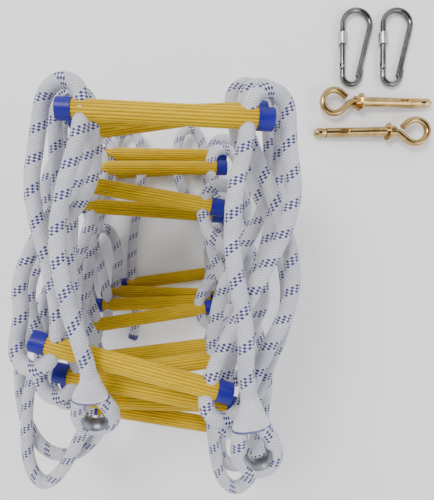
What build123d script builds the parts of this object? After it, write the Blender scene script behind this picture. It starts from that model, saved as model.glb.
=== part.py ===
from build123d import *

import math
import os

# Rope ladder folded into a pile, with two screw-lock carabiners and two eye sleeve anchors beside it.

os.makedirs("parts", exist_ok=True)

# ---------------------------------------------------------------- driving dimensions (mm)
ORIGIN = (121.3, 52.75)  # centre of the whole set's footprint, measured from the middle of the pile

ROPE = 15.4  # rope diameter under load
RUNG_LENGTH = 205.0
RUNG_OUTER = 20.5  # over the ribs
RUNG_CORE = 18.7  # at the bottom of the flutes
RUNG_BORE = 12.5
RIBS = 18
HOLE = 16.2  # cross hole that the rope runs through
HOLE_OFFSET = 78.5  # from the middle of the rung to each rope hole
CAP_OUTER = 22.0
CAP_DEPTH = 14.0
CAP_END = 1.5
CAP_SEAT = 18.5
FIT_GAP = 0.05
PIN = 3.0  # pin that locks each rung to its rope
PIN_LENGTH = 18.8
PASS = 20.0  # straight rope either side of a hole's centre

# Each rung: centre x, y, z, heading in degrees, and which way both ropes run through it (+1 is +Y).
RUNGS = [
    (-3, 128, 319, -3, 1),
    (-36, -116, 300, -15, -1),
    (0, 140, 281, 2, 1),
    (-23, -152, 262, -11, -1),
    (-5, 147, 243, 8, 1),
    (-24, -140, 224, 8, -1),
    (-33, 69, 205, -10, 1),
    (-22, -194, 186, -2, -1),
    (-6, -222, 167, -9, -1),
    (-26, 55, 148, -4, 1),
    (-19, -145, 129, 7, -1),
    (-16, 121, 110, 0, 1),
    (-30, -102, 91, 9, -1),
    (-11, 149, 72, -1, 1),
    (-18, -86, 53, 2, -1),
    (-8, -72, 32, -2, -1),
    (-16, 137, 11, 3, 1),
    (17, -47, 11, 8, -1),
]

# The eye at the top end of each rope, in its own plane: along the rope away from the throat, and across.
EYE = [(10, -12.5), (24, -15.5), (43, -19), (57, -9), (57, 9), (43, 19), (24, 15.5), (0, 2), (-45, 0)]
EYE_THIMBLE = EYE[1:7]
LEFT_EYE = ((-76, -138, 302), -88, 30)  # throat, heading and droop in degrees
RIGHT_EYE = ((80, -160, 312), -80, 10)

# Free points of the left rope: from its eye to the first rung, then after each rung to the next.
LEFT_ROUTE = [
    [(-94, -55, 321), (-107, 5, 319), (-99, 60, 319)],
    [(-100, 165, 315), (-121, 154, 308), (-129, 114, 300), (-138, 56, 300), (-116, -20, 300)],
    [(-140, -121, 296), (-157, -104, 289), (-151, -67, 281), (-156, -30, 281), (-128, 28, 281),
     (-97, 64, 281)],
    [(-100, 169, 277), (-120, 156, 270), (-123, 118, 262), (-117, 40, 262), (-103, -44, 262)],
    [(-127, -164, 258), (-144, -149, 251), (-141, -111, 243), (-166, -44, 243), (-127, 20, 243),
     (-90, 64, 243)],
    [(-108, 165, 239), (-126, 150, 232), (-125, 112, 224), (-110, 30, 224), (-126, -60, 224)],
    [(-118, -186, 220), (-140, -176, 213), (-149, -139, 205), (-157, -90, 205), (-138, -10, 205)],
    [(-125, 118, 201), (-147, 109, 194), (-158, 73, 186), (-146, 0, 186), (-124, -99, 186)],
    [(-116, -248, 186), (-136, -284, 186), (-160, -305, 181), (-182, -286, 173),
     (-189, -236, 167), (-184, -172, 167), (-156, -128, 167), (-118, -116, 167),
     (-90, -138, 167)],
    [(-97, -252, 165), (-124, -276, 161), (-162, -276, 156), (-192, -246, 150), (-205, -190, 148),
     (-201, -125, 148), (-174, -66, 148), (-128, -26, 148)],
    [(-123, 94, 144), (-144, 83, 137), (-156, 44, 129), (-164, -14, 129), (-134, -72, 129)],
    [(-114, -189, 125), (-135, -179, 118), (-144, -142, 110), (-118, -62, 110), (-114, 29, 110)],
    [(-115, 153, 106), (-136, 141, 99), (-140, 103, 91), (-150, 50, 91), (-140, -27, 91)],
    [(-123, -149, 87), (-145, -140, 80), (-155, -104, 72), (-134, -31, 72), (-106, 52, 72)],
    [(-110, 183, 68), (-130, 171, 61), (-135, 133, 53), (-134, 80, 53), (-118, 3, 53)],
    [(-108, -127, 49), (-128, -128, 42), (-144, -96, 32), (-144, -30, 32), (-128, 32, 32),
     (-100, 40, 32), (-82, 6, 32)],
    [(-108, -101, 28), (-128, -88, 21), (-138, -50, 11), (-146, 10, 8), (-122, 66, 9)],
    [(-89, 184, 12), (-75, 206, 18), (-52, 198, 26), (-45, 168, 32), (-44, 122, 32),
     (-50, 76, 16), (-60, 30, 9)],
    [(-52, -119, 9), (-62, -156, 8.5)],
]

# Free points of the right rope, in the same order.
RIGHT_ROUTE = [
    [(74, -75, 321), (60, -8, 319), (61, 50, 320)],
    [(98, 155, 315), (117, 142, 308), (119, 104, 300), (128, 40, 300), (78, -52, 300)],
    [(52, -173, 296), (74, -166, 289), (88, -131, 281), (138, -40, 281), (112, 52, 281)],
    [(98, 175, 277), (119, 164, 270), (124, 126, 262), (116, 30, 262), (84, -72, 262)],
    [(68, -202, 258), (90, -194, 251), (102, -158, 243), (140, -70, 243), (128, 10, 243),
     (96, 78, 243)],
    [(89, 193, 239), (111, 183, 232), (120, 146, 224), (122, 55, 224), (66, -32, 224)],
    [(79, -158, 220), (97, -143, 213), (98, -105, 205), (122, -60, 205), (108, -12, 205),
     (64, 2, 205)],
    [(70, 83, 201), (88, 68, 194), (85, 30, 186), (118, -25, 186), (82, -102, 186)],
    [(59, -252, 186), (68, -296, 184), (92, -312, 179), (117, -288, 170), (128, -214, 167),
     (128, -160, 167), (110, -128, 167), (86, -130, 167), (76, -160, 167)],
    [(70, -276, 165), (87, -292, 161), (109, -282, 155), (124, -246, 149), (140, -178, 148),
     (124, -102, 148), (76, -48, 148)],
    [(75, 80, 144), (95, 67, 137), (100, 28, 129), (132, -22, 129), (94, -78, 129)],
    [(83, -165, 125), (102, -150, 118), (101, -112, 110), (126, -44, 110), (88, 29, 110)],
    [(83, 153, 106), (104, 141, 99), (110, 102, 91), (124, 50, 91), (88, -14, 91)],
    [(73, -118, 87), (91, -103, 80), (93, -65, 72), (122, -15, 72), (88, 52, 72)],
    [(89, 179, 68), (109, 167, 61), (112, 129, 53), (134, 79, 53), (86, 12, 53)],
    [(74, -122, 51), (97, -136, 46), (120, -120, 38), (129, -82, 32), (126, -30, 32),
     (116, 18, 32), (98, 40, 32), (76, 34, 32), (67, 0, 32)],
    [(87, -112, 27), (115, -106, 17), (136, -74, 10), (138, -20, 8), (108, 48, 8.5)],
    [(58, 186, 12), (46, 208, 18), (24, 202, 26), (15, 172, 32), (14, 122, 32), (38, 78, 16),
     (72, 34, 9)],
    [(98, -92, 8.5), (80, -124, 8.5)],
]

# Carabiner, bent from round wire
WIRE = 9.2
HOOK_TOP = (0.0, 40.0, 24.4)  # centre x, y and radius of the wide bend's centreline
HOOK_FOOT = (0.0, -49.0, 15.4)
NOSE = 12.0  # straight wire from the wide bend to the nose
GATE_GAP = 0.5
GATE_PIVOT = 74.0  # from the wide bend, along the gate
GATE_SHOULDER = 81.0
TAB = 4.0  # thickness of the hinge tab
TONGUE = 3.0  # flat tongue of the nose, held in the gate's slot
TONGUE_REACH = 3.0
HINGE_PIN = 3.4
LOCK_BORE = 10.6
LOCK_OUTER = 15.6
LOCK_LENGTH = 20.0
LOCK_BACK = 0.7  # from the tongue's end to the sleeve, screwed back
CARABINERS = [((323, 352), 6), ((393, 352), 6)]  # place and turn in degrees
CARABINER_ROLL = 3.94  # it rests on its locking sleeve and its spine
CARABINER_HEIGHT = 6.38

# Eye sleeve anchor
EYE_WIRE = 11.0
EYE_RADIUS = 19.8
NECK = 30.0  # from the eye's centre to the bend
NECK_BEND = 12.0
EYE_TAIL = 11.0  # straight end of the eye wire
NUT_START = 35.3
NUT_THICK = 9.2
NUT_FLATS = 19.0
NUT_BORE = 11.7
WASHER_OUTER = 29.0
WASHER_THICK = 2.5
SLEEVE_START = 47.4
SLEEVE_END = 150.0
SLEEVE_OUTER = 16.0
SLEEVE_BORE = 11.6
SLEEVE_FLARE = 8.0  # length of the flared bore at the split end
SLIT = 1.2
SLIT_LENGTH = 26.0
WINDOW = (112.0, 129.0, 6.5)  # start, end and width
CONE_START = 147.0
CONE_FULL = 158.0
CONE_END = 170.0
ANCHORS = [((284, 254), False), ((423, 203), True)]  # place of the eye's centre, and if turned over
ANCHOR_PITCH = 3.18  # the washer's rim holds the eye end up, and the cone touches down
ANCHOR_HEIGHT = 17.16


def save(part, name):
    """Labels a finished piece and writes it, moved so that the origin is under the set's middle."""
    placed = part.moved(Location((-ORIGIN[0], -ORIGIN[1], 0)))
    placed.label = name
    export_step(placed, f"parts/{name}.step")


# ---------------------------------------------------------------- rungs, caps and lock pins
def rung_tube_blank():
    """Fluted tube along X with a rope hole through it near each end, and turned seats for the caps."""
    with BuildPart() as tube:
        with BuildSketch(Plane.YZ) as profile:
            Circle(RUNG_CORE / 2)
            rib_radius = 1.5
            with PolarLocations(RUNG_OUTER / 2 - rib_radius, RIBS):
                Circle(rib_radius)
            Circle(RUNG_BORE / 2, mode=Mode.SUBTRACT)
        extrude(amount=RUNG_LENGTH / 2 - CAP_END, both=True)
        with BuildSketch(Plane.XZ):
            with Locations((-HOLE_OFFSET, 0), (HOLE_OFFSET, 0)):
                Circle(HOLE / 2)
        extrude(amount=RUNG_OUTER, both=True, mode=Mode.SUBTRACT)
        with BuildSketch(Plane.XY.offset(-RUNG_OUTER)):
            with Locations((-HOLE_OFFSET, 0), (HOLE_OFFSET, 0)):
                Circle(PIN / 2 + FIT_GAP)
        extrude(amount=RUNG_OUTER + PIN_LENGTH / 2, mode=Mode.SUBTRACT)
        for side in (-1, 1):
            with BuildSketch(Plane.YZ.offset(side * (RUNG_LENGTH / 2 - CAP_END))):
                Circle(RUNG_OUTER)
                Circle(CAP_SEAT / 2, mode=Mode.SUBTRACT)
            extrude(amount=-side * CAP_DEPTH, mode=Mode.SUBTRACT)
    return tube.part


def rung_caps_blank():
    """Two soft end caps, pushed over the rung's turned seats."""
    with BuildPart() as caps:
        for side in (-1, 1):
            with BuildSketch(Plane.YZ.offset(side * RUNG_LENGTH / 2)):
                Circle(CAP_OUTER / 2)
            extrude(amount=-side * (CAP_END + CAP_DEPTH - 0.2))
        rims = caps.edges().filter_by(GeomType.CIRCLE).sort_by(Axis.X)
        fillet([rims[0], rims[-1]], 1.2)
        for side in (-1, 1):
            with BuildSketch(Plane.YZ.offset(side * (RUNG_LENGTH / 2 - CAP_END))):
                Circle(CAP_SEAT / 2 + FIT_GAP)
            extrude(amount=-side * (CAP_DEPTH + 1), mode=Mode.SUBTRACT)
    return caps.part


def lock_pins_blank():
    """One steel pin through each rope hole's walls and the rope in it."""
    with BuildPart() as pins:
        with BuildSketch(Plane.XY.offset(-PIN_LENGTH / 2 - FIT_GAP)):
            with Locations((-HOLE_OFFSET, 0), (HOLE_OFFSET, 0)):
                Circle(PIN / 2)
        extrude(amount=PIN_LENGTH)
    return pins.part


def make_rungs():
    tube = rung_tube_blank()
    caps = rung_caps_blank()
    pins = lock_pins_blank()
    all_pins = []
    for number, (x, y, z, heading, _) in enumerate(RUNGS, start=1):
        seat = Location((x, y, z), (0, 0, heading))
        save(tube.moved(seat), f"rung_{number:02d}_tube")
        save(caps.moved(seat), f"rung_{number:02d}_caps")
        all_pins += pins.moved(seat).solids()
    save(Compound(all_pins), "rung_lock_pins")


# ---------------------------------------------------------------- ropes
def through_rung(rung, side):
    """The two points where a rope runs straight through its hole, in the rope's order."""
    x, y, z, heading, way = rung
    turn = math.radians(heading)
    hole_x = x + side * HOLE_OFFSET * math.cos(turn)
    hole_y = y + side * HOLE_OFFSET * math.sin(turn)
    step_x = -math.sin(turn) * way * PASS
    step_y = math.cos(turn) * way * PASS
    return [(hole_x - step_x, hole_y - step_y, z), (hole_x + step_x, hole_y + step_y, z)]


def eye_points(eye, outline):
    """Puts points of the eye's plane where the eye lies."""
    (x, y, z), heading, droop = eye
    along_x = math.cos(math.radians(heading)) * math.cos(math.radians(droop))
    along_y = math.sin(math.radians(heading)) * math.cos(math.radians(droop))
    along_z = -math.sin(math.radians(droop))
    across_x = -math.sin(math.radians(heading))
    across_y = math.cos(math.radians(heading))
    return [(x + u * along_x + v * across_x, y + u * along_y + v * across_y, z + u * along_z)
            for u, v in outline]


def rope_points(eye, route, side):
    points = eye_points(eye, EYE) + route[0]
    for rung, free in zip(RUNGS, route[1:]):
        points += through_rung(rung, side) + free
    return points


def corner_radii(points):
    """As large an arc at each point as its two runs allow."""
    radii = []
    for before, here, after in zip(points, points[1:], points[2:]):
        first = Vector(*here) - Vector(*before)
        second = Vector(*after) - Vector(*here)
        half_turn = math.radians(first.get_angle(second)) / 2
        radii.append(0.45 * min(first.length, second.length) / math.tan(half_turn))
    return radii


def make_tube(points, name):
    radii = corner_radii(points)
    with BuildPart() as rope:
        with BuildLine():
            course = FilletPolyline(*points, radius=radii)
        with BuildSketch(Plane(origin=course @ 0, z_dir=course % 0)):
            Circle(ROPE / 2)
        sweep()
    length = course.length
    ratio = rope.part.volume / (length * math.pi * ROPE**2 / 4)
    print(f"{name}: length {length:.0f}, volume over section times length {ratio:.4f}")
    print("radii", sorted(round(radius, 1) for radius in radii)[:24])
    save(rope.part, name)


def make_thimble(eye, name):
    """Sheet-metal thimble: a half-round channel in the inside of the eye."""
    corners = eye_points(eye, EYE_THIMBLE)
    first = (Vector(*corners[0]) + Vector(*corners[1])) / 2
    last = (Vector(*corners[-1]) + Vector(*corners[-2])) / 2
    points = [tuple(first)] + corners[1:-1] + [tuple(last)]
    (x, y, z), heading, droop = eye
    middle = eye_points(eye, [(40, 0)])[0]
    normal = Vector(*eye_points(eye, [(0, 1)])[0]) - Vector(x, y, z)
    along = Vector(*eye_points(eye, [(1, 0)])[0]) - Vector(x, y, z)
    plane_normal = along.cross(normal)
    with BuildPart() as thimble:
        with BuildLine():
            course = FilletPolyline(*points, radius=corner_radii(corners))
        start = course @ 0
        inward = Vector(*middle) - start
        inward = inward - (course % 0) * inward.dot(course % 0)
        with BuildSketch(Plane(origin=start, x_dir=inward, z_dir=course % 0)):
            Circle(ROPE / 2 + 1.5)
            Circle(ROPE / 2 + 0.2, mode=Mode.SUBTRACT)
            with Locations((-ROPE + 4.6, 0)):
                Rectangle(2 * ROPE, 2 * ROPE + 8, mode=Mode.SUBTRACT)
        sweep()
    print(f"{name}: plane normal {plane_normal.Z:.3f}, volume {thimble.part.volume:.0f}")
    save(thimble.part, name)


def make_whippings():
    """Blue twine round each rope just above its eye, and round each lower end."""
    bands = []
    for eye, route in ((LEFT_EYE, LEFT_ROUTE), (RIGHT_EYE, RIGHT_ROUTE)):
        throat = eye_points(eye, [(-21.5, 1.04), (-13.5, 1.4)])
        tail = [route[-1][-2], route[-1][-1]]
        tail_way = (Vector(*tail[1]) - Vector(*tail[0])).normalized()
        tail_end = Vector(*tail[1])
        for start, end in ((Vector(*throat[0]), Vector(*throat[1])),
                           (tail_end - tail_way * 11, tail_end - tail_way * 3)):
            with BuildPart() as band:
                with BuildSketch(Plane(origin=start, z_dir=end - start)):
                    Circle(ROPE / 2 + 0.8)
                    Circle(ROPE / 2 + 0.05, mode=Mode.SUBTRACT)
                extrude(amount=(end - start).length)
            bands += band.part.solids()
    save(Compound(bands), "rope_whippings")


# ---------------------------------------------------------------- carabiners
def hook_points():
    """Tangent points of the gate side, and its direction from the wide bend to the foot."""
    top_x, top_y, top_r = HOOK_TOP
    foot_x, foot_y, foot_r = HOOK_FOOT
    lean = math.asin((top_r - foot_r) / (top_y - foot_y))
    top = Vector(top_x - top_r * math.cos(lean), top_y - top_r * math.sin(lean))
    foot = Vector(foot_x - foot_r * math.cos(lean), foot_y - foot_r * math.sin(lean))
    return lean, top, foot, (foot - top).normalized()


def carabiner_body():
    lean, top, foot, down = hook_points()
    degrees = math.degrees(lean)
    nose = top + down * NOSE
    shoulder = top + down * GATE_SHOULDER
    spine_end = Vector(-foot.X - 2.6, foot.Y + 3)
    with BuildPart() as body:
        with BuildLine() as upper:
            Line(nose, top)
            CenterArc(HOOK_TOP[:2], HOOK_TOP[2], 180 + degrees, -180 - 2 * degrees)
            Line(upper.line @ 1, spine_end)
        with BuildSketch(Plane(origin=nose, z_dir=top - nose)):
            Circle(WIRE / 2)
        sweep(path=upper.line)
        with Locations(spine_end):
            Sphere(WIRE / 2)
        with BuildLine() as lower:
            Line(shoulder, foot)
            CenterArc(HOOK_FOOT[:2], HOOK_FOOT[2], 180 + degrees, 180 - 2 * degrees)
            Line(lower.line @ 1, lower.line @ 1 - Vector(down.X, -down.Y) * -11)
        with BuildSketch(Plane(origin=shoulder, z_dir=down)):
            Circle(WIRE / 2)
        sweep(path=lower.line)
        with Locations(lower.line @ 1):
            Sphere(WIRE / 2)
        pivot = top + down * GATE_PIVOT
        with BuildSketch(Plane(origin=pivot, x_dir=-down, z_dir=(0, 0, 1)).offset(-TAB / 2)):
            with Locations((-(GATE_SHOULDER - GATE_PIVOT) / 2 - 0.5, 0)):
                Rectangle(GATE_SHOULDER - GATE_PIVOT + 1, 7.6)
            Circle(3.8)
            Circle(HINGE_PIN / 2 + FIT_GAP, mode=Mode.SUBTRACT)
        extrude(amount=TAB)
        with BuildSketch(Plane(origin=nose, x_dir=down, z_dir=(0, 0, 1)).offset(-TONGUE / 2)):
            with Locations((TONGUE_REACH / 2 - 0.5, 0)):
                Rectangle(TONGUE_REACH + 1.0, 6.0)
        extrude(amount=TONGUE)
    return body.part


def carabiner_gate():
    _, top, _, down = hook_points()
    pivot = top + down * GATE_PIVOT
    tip = top + down * (NOSE + GATE_GAP)
    reach = (tip - pivot).length
    with BuildPart() as gate:
        with BuildSketch(Plane(origin=pivot + down * 6, z_dir=-down)):
            Circle(WIRE / 2)
        extrude(amount=reach + 6)
        with BuildSketch(Plane(origin=pivot, x_dir=-down, z_dir=(0, 0, 1)).offset(-WIRE)):
            Circle(WIRE / 2)
            with Locations((reach / 2, 0)):
                Rectangle(reach, WIRE)
        extrude(amount=2 * WIRE, mode=Mode.INTERSECT)
        with BuildSketch(Plane(origin=pivot, x_dir=-down, z_dir=(0, 0, 1)).offset(-TAB / 2 - 0.2)):
            Rectangle(12.0, 2 * WIRE)
        extrude(amount=TAB + 0.4, mode=Mode.SUBTRACT)
        with BuildSketch(Plane(origin=tip, x_dir=-down, z_dir=(0, 0, 1)).offset(-TONGUE / 2 - 0.2)):
            Rectangle(2 * TONGUE_REACH + 1.0, 2 * WIRE)
        extrude(amount=TONGUE + 0.4, mode=Mode.SUBTRACT)
        with BuildSketch(Plane(origin=pivot, x_dir=-down, z_dir=(0, 0, 1)).offset(-WIRE)):
            Circle(HINGE_PIN / 2 + FIT_GAP)
        extrude(amount=2 * WIRE, mode=Mode.SUBTRACT)
    return gate.part


def carabiner_hinge_pin():
    _, top, _, down = hook_points()
    pivot = top + down * GATE_PIVOT
    with BuildPart() as pin:
        with BuildSketch(Plane(origin=pivot, z_dir=(0, 0, 1)).offset(-WIRE / 2 + 0.3)):
            Circle(HINGE_PIN / 2)
        extrude(amount=WIRE - 0.6)
    return pin.part


def carabiner_lock():
    """Knurled locking sleeve on the gate, screwed back so that the gate is free."""
    _, top, _, down = hook_points()
    start = top + down * (NOSE + TONGUE_REACH + LOCK_BACK + LOCK_LENGTH)
    with BuildPart() as lock:
        with BuildSketch(Plane(origin=start, z_dir=-down)):
            Circle(LOCK_OUTER / 2)
        extrude(amount=LOCK_LENGTH)
        chamfer(lock.edges().filter_by(GeomType.CIRCLE), 0.8)
        with BuildSketch(Plane(origin=start, z_dir=-down)):
            Circle(LOCK_BORE / 2)
        extrude(amount=LOCK_LENGTH, mode=Mode.SUBTRACT)
        for band in (3.0, LOCK_LENGTH - 4.2):
            with BuildSketch(Plane(origin=start - down * band, z_dir=-down)):
                Circle(LOCK_OUTER / 2 + 1)
                Circle(LOCK_OUTER / 2 - 0.5, mode=Mode.SUBTRACT)
            extrude(amount=1.2, mode=Mode.SUBTRACT)
    return lock.part


def make_carabiners():
    pieces = {
        "body": carabiner_body(),
        "gate": carabiner_gate(),
        "hinge_pin": carabiner_hinge_pin(),
        "lock_sleeve": carabiner_lock(),
    }
    for number, ((x, y), turn) in enumerate(CARABINERS, start=1):
        seat = Location((x, y, CARABINER_HEIGHT)) * Location((0, 0, 0), (0, 0, -turn))
        seat = seat * Location((0, 0, 0), (0, CARABINER_ROLL, 0))
        for name, piece in pieces.items():
            save(piece.moved(seat), f"carabiner_{number}_{name}")
        _, top, _, down = hook_points()
        pivot = seat * Location(top + down * GATE_PIVOT)
        print(f"carabiner {number}: pivot {tuple(pivot.position)}, axis {Plane(pivot).z_dir},"
              f" gate line {Plane(seat * Location(Plane(origin=(0, 0, 0), z_dir=-down))).z_dir}")


# ---------------------------------------------------------------- eye sleeve anchors
def anchor_rod():
    """Rod bent into an open eye at one end; the cone is screwed on the other."""
    meet = math.acos(EYE_RADIUS / NECK)
    slope = math.pi / 2 - meet
    bend_length = NECK_BEND * math.tan(slope / 2)
    low = Vector(EYE_RADIUS * math.cos(meet), -EYE_RADIUS * math.sin(meet))
    high = Vector(low.X, -low.Y)
    bend_end = Vector(NECK - bend_length * math.cos(slope), -bend_length * math.sin(slope))
    slack = Vector(math.cos(slope), -math.sin(slope)) * EYE_TAIL
    with BuildPart() as rod:
        with BuildLine() as path:
            Line((CONE_START + 18, 0), (NECK + bend_length, 0))
            CenterArc((NECK + bend_length, -NECK_BEND), NECK_BEND, 90, math.degrees(slope))
            Line(bend_end, low)
            CenterArc((0, 0), EYE_RADIUS, -math.degrees(meet), -360 + 2 * math.degrees(meet))
            Line(high, high + slack)
        with BuildSketch(Plane(origin=path.line @ 0, z_dir=path.line % 0)):
            Circle(EYE_WIRE / 2)
        sweep()
    return rod.part


def anchor_nut():
    with BuildPart() as nut:
        with BuildSketch(Plane.YZ.offset(NUT_START)):
            RegularPolygon(NUT_FLATS / 2, 6, major_radius=False)
        extrude(amount=NUT_THICK)
        with BuildSketch(Plane.YZ.offset(NUT_START)):
            Circle(NUT_FLATS / 2 + 1.0)
        extrude(amount=NUT_THICK, taper=0, mode=Mode.INTERSECT)
        with BuildSketch(Plane.YZ.offset(NUT_START)):
            Circle(NUT_BORE / 2)
        extrude(amount=NUT_THICK, mode=Mode.SUBTRACT)
    return nut.part


def anchor_washer():
    with BuildPart() as washer:
        with BuildSketch(Plane.YZ.offset(NUT_START + NUT_THICK + 0.1)):
            Circle(WASHER_OUTER / 2)
            Circle(SLEEVE_BORE / 2, mode=Mode.SUBTRACT)
        extrude(amount=WASHER_THICK)
        chamfer(washer.edges().filter_by(GeomType.CIRCLE).sort_by(SortBy.RADIUS)[-2:], 0.5)
    return washer.part


def anchor_sleeve():
    """Expansion sleeve, flared inside and slit at the cone's end, with an oblong window."""
    with BuildPart() as sleeve:
        with BuildSketch(Plane.XY):
            with BuildLine():
                Polyline(
                    (SLEEVE_START, SLEEVE_BORE / 2),
                    (SLEEVE_START, SLEEVE_OUTER / 2),
                    (SLEEVE_END, SLEEVE_OUTER / 2),
                    (SLEEVE_END, SLEEVE_OUTER / 2 - 0.5),
                    (SLEEVE_END - SLEEVE_FLARE, SLEEVE_BORE / 2),
                    close=True,
                )
            make_face()
        revolve(axis=Axis.X)
        with BuildSketch(Plane.XY):
            with Locations((SLEEVE_END - SLIT_LENGTH / 2, SLEEVE_OUTER / 2)):
                Rectangle(SLIT_LENGTH, SLEEVE_OUTER / 2)
        extrude(amount=SLIT / 2, both=True, mode=Mode.SUBTRACT)
        with BuildSketch(Plane.XY):
            with Locations((SLEEVE_END - SLIT_LENGTH / 2, -SLEEVE_OUTER / 2)):
                Rectangle(SLIT_LENGTH, SLEEVE_OUTER / 2)
        extrude(amount=SLIT / 2, both=True, mode=Mode.SUBTRACT)
        with BuildSketch(Plane.XY):
            with Locations(((WINDOW[0] + WINDOW[1]) / 2, 0)):
                SlotOverall(WINDOW[1] - WINDOW[0], WINDOW[2])
        extrude(amount=SLEEVE_OUTER, mode=Mode.SUBTRACT)
    return sleeve.part


def anchor_cone():
    """Cone nut that spreads the sleeve, with a blunt tip."""
    with BuildPart() as cone:
        with BuildSketch(Plane.XY):
            with BuildLine():
                Polyline(
                    (CONE_START, EYE_WIRE / 2 + FIT_GAP),
                    (CONE_START, EYE_WIRE / 2 + 0.4),
                    (CONE_FULL, SLEEVE_OUTER / 2),
                    (CONE_END - 6, SLEEVE_OUTER / 2),
                    (CONE_END, SLEEVE_OUTER / 2 - 3.4),
                    (CONE_END, 0),
                    (CONE_START + 18.1, 0),
                    (CONE_START + 18.1, EYE_WIRE / 2 + FIT_GAP),
                    close=True,
                )
            make_face()
        revolve(axis=Axis.X)
    return cone.part


def make_anchors():
    pieces = {
        "eye_rod": anchor_rod(),
        "nut": anchor_nut(),
        "washer": anchor_washer(),
        "sleeve": anchor_sleeve(),
        "cone": anchor_cone(),
    }
    for number, ((x, y), over) in enumerate(ANCHORS, start=1):
        pitch = 180 - ANCHOR_PITCH if over else ANCHOR_PITCH
        seat = Location((x, y, ANCHOR_HEIGHT), (0, pitch, 0))
        sleeve_seat = seat * Location((0, 0, 0), (180 if over else 0, 0, 0))
        for name, piece in pieces.items():
            place = sleeve_seat if name == "sleeve" else seat
            save(piece.moved(place), f"anchor_{number}_{name}")
        print(f"anchor {number}: eye {tuple(seat.position)}, shank direction {Plane(seat).x_dir}")


make_rungs()
make_tube(rope_points(LEFT_EYE, LEFT_ROUTE, -1), "left_rope")
make_tube(rope_points(RIGHT_EYE, RIGHT_ROUTE, 1), "right_rope")
make_thimble(LEFT_EYE, "left_thimble")
make_thimble(RIGHT_EYE, "right_thimble")
make_whippings()
make_carabiners()
make_anchors()
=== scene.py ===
import math

import bpy
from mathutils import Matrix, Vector


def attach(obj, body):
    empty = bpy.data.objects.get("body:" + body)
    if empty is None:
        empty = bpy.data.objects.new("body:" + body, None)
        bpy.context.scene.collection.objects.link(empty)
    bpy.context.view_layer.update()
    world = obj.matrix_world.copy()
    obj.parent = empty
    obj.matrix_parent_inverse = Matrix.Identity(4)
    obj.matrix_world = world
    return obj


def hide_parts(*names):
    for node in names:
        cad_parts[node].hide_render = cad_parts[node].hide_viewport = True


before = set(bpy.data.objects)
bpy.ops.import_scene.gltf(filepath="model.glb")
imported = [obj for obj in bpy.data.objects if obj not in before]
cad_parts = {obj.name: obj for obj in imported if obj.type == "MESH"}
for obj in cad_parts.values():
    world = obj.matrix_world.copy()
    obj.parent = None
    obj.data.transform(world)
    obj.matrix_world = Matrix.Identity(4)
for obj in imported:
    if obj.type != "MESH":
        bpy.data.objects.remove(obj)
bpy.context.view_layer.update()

ORIGIN = (0.1213, 0.05275)  # centre of the set's footprint, from the middle of the pile
HOLE_OFFSET = 0.0785  # from a rung's middle to the hole for each rope
PASS = 0.02  # half of the rope's straight run through a rung
ROPE = 0.016  # the rope's diameter as shown

# ------------------------------------------------------------------ the ropes' routes, in metres
# Each rung: centre x, y, z, heading in degrees, and which way both ropes run through it.
RUNGS = [
    (-0.003, 0.128, 0.319, -3, 1),
    (-0.036, -0.116, 0.3, -15, -1),
    (0.0, 0.14, 0.281, 2, 1),
    (-0.023, -0.152, 0.262, -11, -1),
    (-0.005, 0.147, 0.243, 8, 1),
    (-0.024, -0.14, 0.224, 8, -1),
    (-0.033, 0.069, 0.205, -10, 1),
    (-0.022, -0.194, 0.186, -2, -1),
    (-0.006, -0.222, 0.167, -9, -1),
    (-0.026, 0.055, 0.148, -4, 1),
    (-0.019, -0.145, 0.129, 7, -1),
    (-0.016, 0.121, 0.11, 0, 1),
    (-0.03, -0.102, 0.091, 9, -1),
    (-0.011, 0.149, 0.072, -1, 1),
    (-0.018, -0.086, 0.053, 2, -1),
    (-0.008, -0.072, 0.032, -2, -1),
    (-0.016, 0.137, 0.011, 3, 1),
    (0.017, -0.047, 0.011, 8, -1),
]
# An eye's outline: along and across from its throat.
EYE = [
    (0.01, -0.0125), (0.024, -0.0155), (0.043, -0.019), (0.057, -0.009), (0.057, 0.009),
    (0.043, 0.019), (0.024, 0.0155), (0.0, 0.002), (-0.045, 0.0)
]
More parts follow.
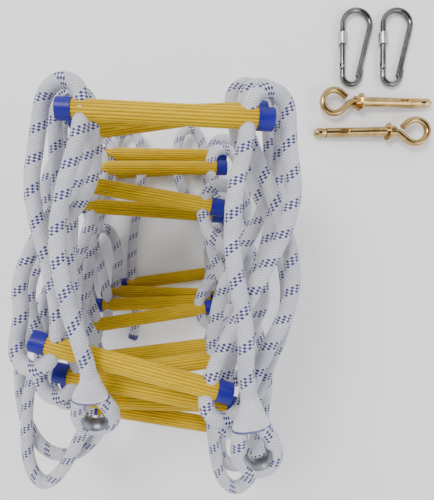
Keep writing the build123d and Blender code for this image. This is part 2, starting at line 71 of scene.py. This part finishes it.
# Each eye: its throat, and its heading and droop in degrees. Each route: the points of every
# free stretch, from the eye past the rungs to the rope's end.
LEFT_EYE = ((-0.076, -0.138, 0.302), -88, 30)
LEFT_ROUTE = [
    [(-0.094, -0.055, 0.321), (-0.107, 0.005, 0.319), (-0.099, 0.06, 0.319)],
    [(-0.1, 0.165, 0.315), (-0.121, 0.154, 0.308), (-0.129, 0.114, 0.3), (-0.138, 0.056, 0.3),
     (-0.116, -0.02, 0.3)],
    [(-0.14, -0.121, 0.296), (-0.157, -0.104, 0.289), (-0.151, -0.067, 0.281),
     (-0.156, -0.03, 0.281), (-0.128, 0.028, 0.281), (-0.097, 0.064, 0.281)],
    [(-0.1, 0.169, 0.277), (-0.12, 0.156, 0.27), (-0.123, 0.118, 0.262), (-0.117, 0.04, 0.262),
     (-0.103, -0.044, 0.262)],
    [(-0.127, -0.164, 0.258), (-0.144, -0.149, 0.251), (-0.141, -0.111, 0.243),
     (-0.166, -0.044, 0.243), (-0.127, 0.02, 0.243), (-0.09, 0.064, 0.243)],
    [(-0.108, 0.165, 0.239), (-0.126, 0.15, 0.232), (-0.125, 0.112, 0.224),
     (-0.11, 0.03, 0.224), (-0.126, -0.06, 0.224)],
    [(-0.118, -0.186, 0.22), (-0.14, -0.176, 0.213), (-0.149, -0.139, 0.205),
     (-0.157, -0.09, 0.205), (-0.138, -0.01, 0.205)],
    [(-0.125, 0.118, 0.201), (-0.147, 0.109, 0.194), (-0.158, 0.073, 0.186),
     (-0.146, 0.0, 0.186), (-0.124, -0.099, 0.186)],
    [(-0.116, -0.248, 0.186), (-0.136, -0.284, 0.186), (-0.16, -0.305, 0.181),
     (-0.182, -0.286, 0.173), (-0.189, -0.236, 0.167), (-0.184, -0.172, 0.167),
     (-0.156, -0.128, 0.167), (-0.118, -0.116, 0.167), (-0.09, -0.138, 0.167)],
    [(-0.097, -0.252, 0.165), (-0.124, -0.276, 0.161), (-0.162, -0.276, 0.156),
     (-0.192, -0.246, 0.15), (-0.205, -0.19, 0.148), (-0.201, -0.125, 0.148),
     (-0.174, -0.066, 0.148), (-0.128, -0.026, 0.148)],
    [(-0.123, 0.094, 0.144), (-0.144, 0.083, 0.137), (-0.156, 0.044, 0.129),
     (-0.164, -0.014, 0.129), (-0.134, -0.072, 0.129)],
    [(-0.114, -0.189, 0.125), (-0.135, -0.179, 0.118), (-0.144, -0.142, 0.11),
     (-0.118, -0.062, 0.11), (-0.114, 0.029, 0.11)],
    [(-0.115, 0.153, 0.106), (-0.136, 0.141, 0.099), (-0.14, 0.103, 0.091),
     (-0.15, 0.05, 0.091), (-0.14, -0.027, 0.091)],
    [(-0.123, -0.149, 0.087), (-0.145, -0.14, 0.08), (-0.155, -0.104, 0.072),
     (-0.134, -0.031, 0.072), (-0.106, 0.052, 0.072)],
    [(-0.11, 0.183, 0.068), (-0.13, 0.171, 0.061), (-0.135, 0.133, 0.053),
     (-0.134, 0.08, 0.053), (-0.118, 0.003, 0.053)],
    [(-0.108, -0.127, 0.049), (-0.128, -0.128, 0.042), (-0.144, -0.096, 0.032),
     (-0.144, -0.03, 0.032), (-0.128, 0.032, 0.032), (-0.1, 0.04, 0.032),
     (-0.082, 0.006, 0.032)],
    [(-0.108, -0.101, 0.028), (-0.128, -0.088, 0.021), (-0.138, -0.05, 0.011),
     (-0.146, 0.01, 0.008), (-0.122, 0.066, 0.009)],
    [(-0.089, 0.184, 0.012), (-0.075, 0.206, 0.018), (-0.052, 0.198, 0.026),
     (-0.045, 0.168, 0.032), (-0.044, 0.122, 0.032), (-0.05, 0.076, 0.016),
     (-0.06, 0.03, 0.009)],
    [(-0.052, -0.119, 0.009), (-0.062, -0.156, 0.0085)],
]
RIGHT_EYE = ((0.08, -0.16, 0.312), -80, 10)
RIGHT_ROUTE = [
    [(0.074, -0.075, 0.321), (0.06, -0.008, 0.319), (0.061, 0.05, 0.32)],
    [(0.098, 0.155, 0.315), (0.117, 0.142, 0.308), (0.119, 0.104, 0.3), (0.128, 0.04, 0.3),
     (0.078, -0.052, 0.3)],
    [(0.052, -0.173, 0.296), (0.074, -0.166, 0.289), (0.088, -0.131, 0.281),
     (0.138, -0.04, 0.281), (0.112, 0.052, 0.281)],
    [(0.098, 0.175, 0.277), (0.119, 0.164, 0.27), (0.124, 0.126, 0.262), (0.116, 0.03, 0.262),
     (0.084, -0.072, 0.262)],
    [(0.068, -0.202, 0.258), (0.09, -0.194, 0.251), (0.102, -0.158, 0.243),
     (0.14, -0.07, 0.243), (0.128, 0.01, 0.243), (0.096, 0.078, 0.243)],
    [(0.089, 0.193, 0.239), (0.111, 0.183, 0.232), (0.12, 0.146, 0.224), (0.122, 0.055, 0.224),
     (0.066, -0.032, 0.224)],
    [(0.079, -0.158, 0.22), (0.097, -0.143, 0.213), (0.098, -0.105, 0.205),
     (0.122, -0.06, 0.205), (0.108, -0.012, 0.205), (0.064, 0.002, 0.205)],
    [(0.07, 0.083, 0.201), (0.088, 0.068, 0.194), (0.085, 0.03, 0.186), (0.118, -0.025, 0.186),
     (0.082, -0.102, 0.186)],
    [(0.059, -0.252, 0.186), (0.068, -0.296, 0.184), (0.092, -0.312, 0.179),
     (0.117, -0.288, 0.17), (0.128, -0.214, 0.167), (0.128, -0.16, 0.167),
     (0.11, -0.128, 0.167), (0.086, -0.13, 0.167), (0.076, -0.16, 0.167)],
    [(0.07, -0.276, 0.165), (0.087, -0.292, 0.161), (0.109, -0.282, 0.155),
     (0.124, -0.246, 0.149), (0.14, -0.178, 0.148), (0.124, -0.102, 0.148),
     (0.076, -0.048, 0.148)],
    [(0.075, 0.08, 0.144), (0.095, 0.067, 0.137), (0.1, 0.028, 0.129), (0.132, -0.022, 0.129),
     (0.094, -0.078, 0.129)],
    [(0.083, -0.165, 0.125), (0.102, -0.15, 0.118), (0.101, -0.112, 0.11),
     (0.126, -0.044, 0.11), (0.088, 0.029, 0.11)],
    [(0.083, 0.153, 0.106), (0.104, 0.141, 0.099), (0.11, 0.102, 0.091), (0.124, 0.05, 0.091),
     (0.088, -0.014, 0.091)],
    [(0.073, -0.118, 0.087), (0.091, -0.103, 0.08), (0.093, -0.065, 0.072),
     (0.122, -0.015, 0.072), (0.088, 0.052, 0.072)],
    [(0.089, 0.179, 0.068), (0.109, 0.167, 0.061), (0.112, 0.129, 0.053), (0.134, 0.079, 0.053),
     (0.086, 0.012, 0.053)],
    [(0.074, -0.122, 0.051), (0.097, -0.136, 0.046), (0.12, -0.12, 0.038),
     (0.129, -0.082, 0.032), (0.126, -0.03, 0.032), (0.116, 0.018, 0.032), (0.098, 0.04, 0.032),
     (0.076, 0.034, 0.032), (0.067, 0.0, 0.032)],
    [(0.087, -0.112, 0.027), (0.115, -0.106, 0.017), (0.136, -0.074, 0.01),
     (0.138, -0.02, 0.008), (0.108, 0.048, 0.0085)],
    [(0.058, 0.186, 0.012), (0.046, 0.208, 0.018), (0.024, 0.202, 0.026), (0.015, 0.172, 0.032),
     (0.014, 0.122, 0.032), (0.038, 0.078, 0.016), (0.072, 0.034, 0.009)],
    [(0.098, -0.092, 0.0085), (0.08, -0.124, 0.0085)],
]

# ------------------------------------------------------------------ camera
CAMERA_HEIGHT = 0.689

camera_data = bpy.data.cameras.new("camera")
camera_data.sensor_width = 36.0
camera_data.lens = 28.3
camera_data.shift_x = 0.098
camera_data.clip_start = 0.05
camera = bpy.data.objects.new("camera", camera_data)
camera.location = (-ORIGIN[0], -ORIGIN[1], CAMERA_HEIGHT)
bpy.context.scene.collection.objects.link(camera)
bpy.context.scene.camera = camera


# ------------------------------------------------------------------ small node-tree helpers
class Tree:
    """A material's nodes, with the few operations that the looks below share."""

    def __init__(self, name):
        self.material = bpy.data.materials.new(name)
        self.material.use_nodes = True
        self.nodes = self.material.node_tree.nodes
        self.links = self.material.node_tree.links
        self.nodes.clear()
        self.shader = self.nodes.new("ShaderNodeBsdfPrincipled")
        output = self.nodes.new("ShaderNodeOutputMaterial")
        self.links.new(self.shader.outputs[0], output.inputs[0])

    def put(self, socket, value):
        if isinstance(value, bpy.types.NodeSocket):
            self.links.new(value, socket)
        else:
            socket.default_value = value

    def math(self, operation, a, b=0.0, c=0.0):
        node = self.nodes.new("ShaderNodeMath")
        node.operation = operation
        for socket, value in zip(node.inputs, (a, b, c)):
            self.put(socket, value)
        return node.outputs[0]

    def object_place(self):
        return self.nodes.new("ShaderNodeTexCoord").outputs["Object"]

    def split(self, vector):
        node = self.nodes.new("ShaderNodeSeparateXYZ")
        self.put(node.inputs[0], vector)
        return node.outputs

    def stretched(self, vector, scale):
        node = self.nodes.new("ShaderNodeVectorMath")
        node.operation = "MULTIPLY"
        self.put(node.inputs[0], vector)
        node.inputs[1].default_value = scale
        return node.outputs[0]

    def noise(self, vector, scale, detail=3.0, roughness=0.55):
        node = self.nodes.new("ShaderNodeTexNoise")
        self.put(node.inputs["Vector"], vector)
        node.inputs["Scale"].default_value = scale
        node.inputs["Detail"].default_value = detail
        node.inputs["Roughness"].default_value = roughness
        return node.outputs[0]

    def remap(self, value, low, high, to_low=0.0, to_high=1.0):
        node = self.nodes.new("ShaderNodeMapRange")
        node.clamp = True
        for socket, item in zip(node.inputs, (value, low, high, to_low, to_high)):
            self.put(socket, item)
        return node.outputs[0]

    def mix(self, factor, a, b, blend="MIX"):
        node = self.nodes.new("ShaderNodeMix")
        node.data_type = "RGBA"
        node.blend_type = blend
        self.put(node.inputs[0], factor)
        self.put(node.inputs[6], a)
        self.put(node.inputs[7], b)
        return node.outputs[2]

    def bump(self, height, strength, distance):
        node = self.nodes.new("ShaderNodeBump")
        node.inputs["Strength"].default_value = strength
        node.inputs["Distance"].default_value = distance
        self.put(node.inputs["Height"], height)
        self.links.new(node.outputs[0], self.shader.inputs["Normal"])

    def set(self, **values):
        for name, value in values.items():
            self.put(self.shader.inputs[name.replace("_", " ")], value)


def grey(value):
    return (value, value, value, 1.0)


# ------------------------------------------------------------------ looks
STRANDS = 10  # strands that run each way round the rope
TRACERS = 3  # neighbouring blue strands among them
PITCH = 0.031  # length of rope in one turn of a strand


def braid_look():
    """White braid with blue tracer strands and painted shade in the crevices between strands,
    from a UV of turns and pitches.
    """
    tree = Tree("braided_polyester")
    uv = tree.nodes.new("ShaderNodeUVMap")
    uv.uv_map = "braid"
    around, along, _ = tree.split(uv.outputs[0])
    minus = tree.math("SUBTRACT", around, along)
    plus = tree.math("ADD", around, along)
    first = tree.math("MULTIPLY", minus, STRANDS)
    second = tree.math("MULTIPLY", plus, STRANDS)
    first_cell = tree.math("FLOOR", first)
    second_cell = tree.math("FLOOR", second)
    first_middle = tree.math("SUBTRACT", tree.math("FRACT", first), 0.5)
    first_across = tree.math("ABSOLUTE", first_middle)
    second_middle = tree.math("SUBTRACT", tree.math("FRACT", second), 0.5)
    second_across = tree.math("ABSOLUTE", second_middle)
    parity = tree.math("FLOORED_MODULO", tree.math("ADD", first_cell, second_cell), 2.0)
    over = tree.math("LESS_THAN", parity, 0.5)
    under = tree.math("SUBTRACT", 1.0, over)
    # the strand on top is round across its width and dips at its ends
    width = tree.math("ADD", tree.math("MULTIPLY", over, first_across),
                      tree.math("MULTIPLY", under, second_across))
    run = tree.math("ADD", tree.math("MULTIPLY", over, second_across),
                    tree.math("MULTIPLY", under, first_across))
    crown = tree.remap(width, 0.5, 0.12)
    dip = tree.remap(run, 0.5, 0.22)
    height = tree.math("MULTIPLY", crown, dip)
    # fine filaments along the strand on top
    filament = tree.math("SINE", tree.math("MULTIPLY", width, 60.0))
    place = tree.object_place()
    fuzz = tree.noise(place, 900.0, 2.0)
    surface = tree.math("ADD", height, tree.math("MULTIPLY", filament, 0.05))
    surface = tree.math("ADD", surface, tree.math("MULTIPLY", fuzz, 0.25))
    tree.bump(surface, 0.55, 0.0006)
    # the tracers are blue only where they are on top
    order = tree.math("FLOORED_MODULO", first_cell, float(STRANDS))
    traced = tree.math("LESS_THAN", order, TRACERS - 0.5)
    dash = tree.math("MULTIPLY", tree.remap(width, 0.45, 0.38), tree.remap(run, 0.50, 0.45))
    blue = tree.math("MULTIPLY", tree.math("MULTIPLY", traced, over), dash)
    soil = tree.noise(place, 34.0, 4.0)
    white = tree.mix(tree.remap(soil, 0.35, 0.7),
                     (0.66, 0.66, 0.70, 1.0), (0.50, 0.50, 0.56, 1.0))
    # painted shade: the white turns dark grey-blue where the strands dip, in the crevices between
    # them
    white = tree.mix(tree.remap(height, 0.0, 0.55), (0.34, 0.34, 0.40, 1.0), white)
    tint = tree.mix(tree.remap(fuzz, 0.3, 0.7),
                    (0.009, 0.006, 0.10, 1.0), (0.022, 0.015, 0.19, 1.0))
    tree.set(Base_Color=tree.mix(blue, white, tint))
    tree.set(Roughness=tree.remap(fuzz, 0.3, 0.7, 0.68, 0.85))
    tree.set(Sheen_Weight=0.25, Sheen_Roughness=0.5)
    return tree.material


def rung_look():
    """Golden plastic, with painted shade deep between the flutes."""
    tree = Tree("golden_rung")
    place = tree.object_place()
    streak = tree.noise(tree.stretched(place, (1.0, 9.0, 9.0)), 40.0, 4.0)
    speck = tree.noise(place, 700.0, 2.0)
    patch = tree.noise(place, 9.0, 2.0)
    colour = tree.mix(tree.remap(streak, 0.3, 0.7),
                      (0.42, 0.245, 0.002, 1.0), (0.64, 0.41, 0.003, 1.0))
    colour = tree.mix(tree.remap(patch, 0.35, 0.65, 0.0, 0.5),
                      colour, (0.70, 0.48, 0.006, 1.0))
    # painted shade: ambient occlusion mixes in dark brown deep between the flutes, where shade
    # falls
    shade = tree.nodes.new("ShaderNodeAmbientOcclusion")
    shade.only_local = True
    shade.samples = 8
    shade.inputs["Distance"].default_value = 0.003
    flute_shade_mask = tree.remap(shade.outputs["AO"], 0.35, 0.95)
    tree.set(Base_Color=tree.mix(flute_shade_mask, (0.17, 0.07, 0.001, 1.0), colour))
    tree.set(Roughness=tree.remap(speck, 0.3, 0.7, 0.34, 0.5))
    tree.set(Specular_IOR_Level=0.22)
    tree.bump(tree.math("ADD", speck, tree.math("MULTIPLY", streak, 0.6)), 0.25, 0.0003)
    return tree.material


def cap_look():
    tree = Tree("blue_vinyl")
    place = tree.object_place()
    cloud = tree.noise(place, 30.0, 3.0)
    grain = tree.noise(place, 1100.0, 2.0)
    colour = tree.mix(tree.remap(cloud, 0.3, 0.7),
                      (0.005, 0.004, 0.15, 1.0), (0.012, 0.009, 0.27, 1.0))
    tree.set(Base_Color=colour)
    tree.set(Roughness=tree.remap(grain, 0.3, 0.7, 0.3, 0.44))
    tree.set(Specular_IOR_Level=0.35)
    tree.bump(grain, 0.2, 0.0002)
    return tree.material


def metal_look(name, dark, light, rough_low, rough_high, grain_scale, bump_strength):
    tree = Tree(name)
    place = tree.object_place()
    cloud = tree.noise(place, 45.0, 4.0)
    grain = tree.noise(place, grain_scale, 3.0)
    tree.set(Base_Color=tree.mix(tree.remap(cloud, 0.32, 0.68), dark, light))
    tree.set(Roughness=tree.remap(grain, 0.3, 0.7, rough_low, rough_high))
    tree.set(Metallic=1.0)
    tree.bump(grain, bump_strength, 0.0002)
    return tree.material


def cloth_look(name, low, high):
    tree = Tree(name)
    place = tree.object_place()
    grain = tree.noise(place, 500.0, 3.0)
    cloud = tree.noise(place, 60.0, 3.0)
    colour = tree.mix(tree.remap(grain, 0.3, 0.7), low, high)
    faded = tree.mix(tree.remap(cloud, 0.35, 0.7, 0.0, 0.35), colour, grey(0.45))
    tree.set(Base_Color=faded)
    tree.set(Roughness=tree.remap(grain, 0.3, 0.7, 0.6, 0.8))
    tree.bump(tree.math("ADD", grain, tree.math("MULTIPLY", cloud, 2.0)), 0.6, 0.0006)
    return tree.material


def floor_look():
    tree = Tree("pale_ground")
    place = tree.object_place()
    cloud = tree.noise(place, 3.0, 3.0)
    tree.set(Base_Color=tree.mix(tree.remap(cloud, 0.3, 0.7), grey(0.93), grey(0.96)))
    tree.set(Roughness=0.9)
    return tree.material


BRAID = braid_look()
RUNG = rung_look()
CAP = cap_look()
DARK_STEEL = metal_look("dark_nickel", grey(0.10), grey(0.22), 0.06, 0.14, 420.0, 0.10)
BRIGHT_STEEL = metal_look("bright_nickel", grey(0.50), grey(0.68), 0.24, 0.38, 500.0, 0.2)
PIN_STEEL = metal_look("pin_steel", grey(0.42), grey(0.55), 0.3, 0.4, 500.0, 0.2)
GALVANISED = metal_look("galvanised", (0.16, 0.165, 0.18, 1), (0.30, 0.31, 0.33, 1),
                        0.38, 0.55, 160.0, 0.25)
YELLOW_ZINC = metal_look("yellow_zinc", (0.34, 0.21, 0.075, 1), (0.60, 0.42, 0.18, 1),
                         0.12, 0.26, 300.0, 0.15)
TWINE = cloth_look("whipping_twine", (0.012, 0.010, 0.12, 1.0), (0.03, 0.03, 0.24, 1.0))
SLEEVE_CLOTH = cloth_look("splice_sleeve", (0.50, 0.50, 0.54, 1.0), (0.66, 0.66, 0.70, 1.0))


# ------------------------------------------------------------------ ropes
# The rope's section is not quite round: size, lobes, and turning along it in radians per metre.
WAVE_SIZE, WAVE_LOBES, WAVE_TURN = 0.012, 3, 90
# A cut end: its share of the radius, the rest of the radius, and the length it grows over.
END_SHARE, END_REST, END_LENGTH = 0.78, 0.22, 0.006


def through_rung(rung, side):
    x, y, z, heading, way = rung
    turn = math.radians(heading)
    hole_x = x + side * HOLE_OFFSET * math.cos(turn)
    hole_y = y + side * HOLE_OFFSET * math.sin(turn)
    step_x = -math.sin(turn) * way * PASS
    step_y = math.cos(turn) * way * PASS
    return [(hole_x - step_x, hole_y - step_y, z), (hole_x + step_x, hole_y + step_y, z)]


def eye_points(eye, outline):
    (x, y, z), heading, droop = eye
    along = Vector((math.cos(math.radians(heading)) * math.cos(math.radians(droop)),
                    math.sin(math.radians(heading)) * math.cos(math.radians(droop)),
                    -math.sin(math.radians(droop))))
    across = Vector((-math.sin(math.radians(heading)), math.cos(math.radians(heading)), 0))
    return [tuple(Vector((x, y, z)) + along * u + across * v) for u, v in outline]


def route_points(eye, route, side):
    points = eye_points(eye, EYE) + route[0]
    for rung, free in zip(RUNGS, route[1:]):
        points += through_rung(rung, side) + free
    return [Vector((x - ORIGIN[0], y - ORIGIN[1], z)) for x, y, z in points]


def spline_line(name, points):
    """The points that a NURBS spline through the route's control points gives."""
    curve = bpy.data.curves.new(name, "CURVE")
    curve.dimensions = "3D"
    curve.resolution_u = 14
    spline = curve.splines.new("NURBS")
    spline.points.add(len(points) - 1)
    for target, point in zip(spline.points, points):
        target.co = (*point, 1.0)
    spline.order_u = 3
    spline.use_endpoint_u = True
    holder = bpy.data.objects.new(name, curve)
    mesh = bpy.data.meshes.new_from_object(holder)
    line = [vertex.co.copy() for vertex in mesh.vertices]
    bpy.data.objects.remove(holder)
    return line


def tube_mesh(name, line, radius, sides=24):
    """A mesh tube along the line, with a UV of turns round it and braid pitches along it."""
    tangents = []
    for index in range(len(line)):
        before = line[max(index - 1, 0)]
        after = line[min(index + 1, len(line) - 1)]
        tangents.append((after - before).normalized())
    side_way = tangents[0].orthogonal().normalized()
    vertices, faces, coordinates = [], [], []
    distance = 0.0
    for index, (centre, tangent) in enumerate(zip(line, tangents)):
        if index:
            distance += (centre - line[index - 1]).length
            side_way = (side_way - tangent * side_way.dot(tangent)).normalized()
        other = tangent.cross(side_way)
        spread = radius(distance)
        for step in range(sides):
            angle = 2 * math.pi * step / sides
            wave = 1 + WAVE_SIZE * math.sin(WAVE_LOBES * angle + distance * WAVE_TURN)
            out = side_way * math.cos(angle) + other * math.sin(angle)
            vertices.append(centre + out * spread * wave)
        coordinates.append(distance / PITCH)
    for index in range(len(line) - 1):
        for step in range(sides):
            after = (step + 1) % sides
            faces.append((index * sides + step, index * sides + after,
                          (index + 1) * sides + after, (index + 1) * sides + step))
    last = (len(line) - 1) * sides
    faces.append(tuple(reversed(range(sides))))
    faces.append(tuple(last + step for step in range(sides)))
    mesh = bpy.data.meshes.new(name)
    mesh.from_pydata([tuple(v) for v in vertices], [], faces)
    layer = mesh.uv_layers.new(name="braid")
    for polygon in mesh.polygons:
        if len(polygon.vertices) > 4:
            for loop in polygon.loop_indices:
                layer.data[loop].uv = (0.5, 0.5)
            continue
        index, step = divmod(polygon.index, sides)
        turns = (step / sides, (step + 1) / sides, (step + 1) / sides, step / sides)
        near, far = coordinates[index], coordinates[index + 1]
        runs = (near, near, far, far)
        for loop, turn, run in zip(polygon.loop_indices, turns, runs):
            layer.data[loop].uv = (turn, run)
        polygon.use_smooth = True
    mesh.validate()
    piece = bpy.data.objects.new(name, mesh)
    bpy.context.scene.collection.objects.link(piece)
    return piece


def rope_radius(length):
    """The rope's radius along it, with rounded cut ends."""
    def radius(distance):
        ends = min(distance, length - distance)
        return ROPE / 2 * (END_SHARE + END_REST * min(1.0, (ends / END_LENGTH)) ** 0.5)
    return radius


def line_length(line):
    return sum((b - a).length for a, b in zip(line, line[1:]))


for name, eye, route, side in (("left", LEFT_EYE, LEFT_ROUTE, -1),
                               ("right", RIGHT_EYE, RIGHT_ROUTE, 1)):
    line = spline_line(f"{name}_rope_route", route_points(eye, route, side))
    length = line_length(line)
    rope = tube_mesh(f"{name}_rope_braid", line, rope_radius(length))
    rope.data.materials.append(BRAID)
    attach(rope, "ladder")
    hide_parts(f"{name}_rope")
    print(name, "rope length", round(length, 3))


# ------------------------------------------------------------------ splice sleeves and whippings
# Sections of a sleeve along the eye: place, offset across, half width and half thickness, in
# metres.
SLEEVE_SECTIONS = [
    (-0.0220, 0.0010, 0.0080, 0.0080), (-0.0214, 0.0010, 0.0085, 0.0084),
    (-0.0150, 0.0010, 0.0096, 0.0089), (-0.0080, 0.0004, 0.0118, 0.0091),
    (-0.0010, -0.0008, 0.0148, 0.0092), (0.0050, -0.0015, 0.0172, 0.0091),
    (0.0090, -0.0018, 0.0182, 0.0090), (0.0094, -0.0018, 0.0187, 0.0094),
    (0.0110, -0.0020, 0.0190, 0.0094), (0.0116, -0.0020, 0.0180, 0.0084),
]
SLEEVE_SIDES = 40
TWINE_ROW = 6  # the sleeve's rows from here on are its blue stitched edge
SQUARED_FROM, SQUARED = 0.012, 0.8  # half width from which a section is squared, and its power
WRAP, WRAPS, WRAP_STEPS = 0.001, 8, 6  # pitch of the twine, its turns, and sections in each
WRAP_RADIUS, WRAP_SWELL = 0.0082, 0.0003  # between the turns of twine, and how far they stand out
WRAP_BACK = 0.003  # from the rope's end to the twine


def loft(rings, vertices, faces, paints, paint):
    """Joins rings of points into one closed skin; paint gives each row its material."""
    base, sides = len(vertices), len(rings[0])
    for section in rings:
        vertices.extend(tuple(point) for point in section)
    for row in range(len(rings) - 1):
        for step in range(sides):
            after = (step + 1) % sides
            faces.append((base + row * sides + step, base + row * sides + after,
                          base + (row + 1) * sides + after, base + (row + 1) * sides + step))
            paints.append(paint(row))
    faces.append(tuple(reversed(range(base, base + sides))))
    paints.append(paint(0))
    faces.append(tuple(range(base + (len(rings) - 1) * sides, base + len(rings) * sides)))
    paints.append(paint(len(rings) - 2))


def ring(centre, across, up, half_width, half_thick, power=1.0):
    """An ellipse of points; a power under 1 squares it off."""
    points = []
    for step in range(SLEEVE_SIDES):
        angle = 2 * math.pi * step / SLEEVE_SIDES
        cosine, sine = math.cos(angle), math.sin(angle)
        flat = math.copysign(abs(sine) ** power, sine)
        points.append(centre + across * cosine * half_width + up * flat * half_thick)
    return points


def make_whippings():
    """The sleeve at each eye and the twine round each lower end, as one piece."""
    vertices, faces, paints = [], [], []
    shift = Vector((-ORIGIN[0], -ORIGIN[1], 0))
    for eye, route in ((LEFT_EYE, LEFT_ROUTE), (RIGHT_EYE, RIGHT_ROUTE)):
        marks = eye_points(eye, [(0, 0), (1, 0), (0, 1)])
        throat, along, across = (Vector(point) for point in marks)
        along, across = along - throat, across - throat
        up = along.cross(across)
        rings = [ring(throat + along * u + across * v + shift, across, up, wide, thick,
                      SQUARED if wide > SQUARED_FROM else 1.0)
                 for u, v, wide, thick in SLEEVE_SECTIONS]
        loft(rings, vertices, faces, paints, lambda row: 1 if row >= TWINE_ROW else 0)
        before, end = Vector(route[-1][-2]), Vector(route[-1][-1])
        way = (end - before).normalized()
        across = way.cross(Vector((0, 0, 1))).normalized()
        up = across.cross(way)
        rings = []
        for step in range(WRAPS * WRAP_STEPS + 1):
            swell = WRAP_RADIUS + WRAP_SWELL * abs(math.sin(math.pi * step / WRAP_STEPS))
            start = end + shift - way * (WRAP_BACK + WRAPS * WRAP)
            place = start + way * (step * WRAP / WRAP_STEPS)
            rings.append(ring(place, across, up, swell, swell))
        loft(rings, vertices, faces, paints, lambda row: 1)
    mesh = bpy.data.meshes.new("rope_whippings_shown")
    mesh.from_pydata(vertices, [], faces)
    mesh.materials.append(SLEEVE_CLOTH)
    mesh.materials.append(TWINE)
    for polygon, paint in zip(mesh.polygons, paints):
        polygon.material_index = paint
        polygon.use_smooth = len(polygon.vertices) == 4
    whippings = bpy.data.objects.new("rope_whippings_shown", mesh)
    bpy.context.scene.collection.objects.link(whippings)
    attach(whippings, "ladder")
    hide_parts("rope_whippings")


make_whippings()


# ------------------------------------------------------------------ materials of the CAD nodes
def dress(node_name, material):
    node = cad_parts[node_name]
    node.data.materials.clear()
    node.data.materials.append(material)


for number in range(1, len(RUNGS) + 1):
    dress(f"rung_{number:02d}_tube", RUNG)
    dress(f"rung_{number:02d}_caps", CAP)
for side_name in ("left", "right"):
    dress(f"{side_name}_thimble", GALVANISED)
dress("rung_lock_pins", PIN_STEEL)
for number in (1, 2):
    dress(f"carabiner_{number}_body", DARK_STEEL)
    dress(f"carabiner_{number}_gate", DARK_STEEL)
    dress(f"carabiner_{number}_hinge_pin", PIN_STEEL)
    dress(f"carabiner_{number}_lock_sleeve", BRIGHT_STEEL)
    for piece_name in ("eye_rod", "nut", "washer", "sleeve", "cone"):
        dress(f"anchor_{number}_{piece_name}", YELLOW_ZINC)


# ------------------------------------------------------------------ ground and light
FAR = 6  # from the middle of the ground to each side
ground_mesh = bpy.data.meshes.new("ground")
ground_mesh.from_pydata([(-FAR, -FAR, 0), (FAR, -FAR, 0), (FAR, FAR, 0), (-FAR, FAR, 0)],
                        [], [(0, 1, 2, 3)])
ground = bpy.data.objects.new("ground", ground_mesh)
ground.location = (0, 0, -0.0005)
bpy.context.scene.collection.objects.link(ground)
ground_mesh.materials.append(floor_look())

# A dark ceiling patch above a bright dome gives the metal its dark cores.
ZENITH, DOME = 0.05, 1.4  # strength of each
DOME_TOP, ZENITH_EDGE = 0.74, 0.93  # upward share of the direction where one fades to the other


def studio_world():
    world = bpy.data.worlds.new("studio")
    world.use_nodes = True
    nodes, links = world.node_tree.nodes, world.node_tree.links
    background = nodes["Background"]
    background.inputs[0].default_value = (0.95, 0.97, 1.0, 1.0)
    axes = nodes.new("ShaderNodeSeparateXYZ")
    links.new(nodes.new("ShaderNodeTexCoord").outputs["Generated"], axes.inputs[0])
    strength = nodes.new("ShaderNodeMapRange")
    strength.interpolation_type = "SMOOTHSTEP"
    links.new(axes.outputs[2], strength.inputs[0])
    for socket, value in zip(strength.inputs[1:5], (DOME_TOP, ZENITH_EDGE, DOME, ZENITH)):
        socket.default_value = value
    links.new(strength.outputs[0], background.inputs[1])
    bpy.context.scene.world = world


studio_world()


def area_light(name, place, target, size, power, colour=(1, 1, 1)):
    data = bpy.data.lights.new(name, "AREA")
    data.size = size
    data.energy = power
    data.color = colour
    light = bpy.data.objects.new(name, data)
    light.location = place
    light.rotation_mode = "QUATERNION"
    light.rotation_quaternion = (Vector(target) - Vector(place)).to_track_quat("-Z", "Y")
    bpy.context.scene.collection.objects.link(light)


area_light("key", (-1.2, 1.0, 2.4), (0, 0, 0.1), 0.9, 60, (1.0, 0.98, 0.95))
area_light("fill", (1.8, -0.9, 1.9), (0, 0, 0.1), 1.6, 22, (0.95, 0.97, 1.0))
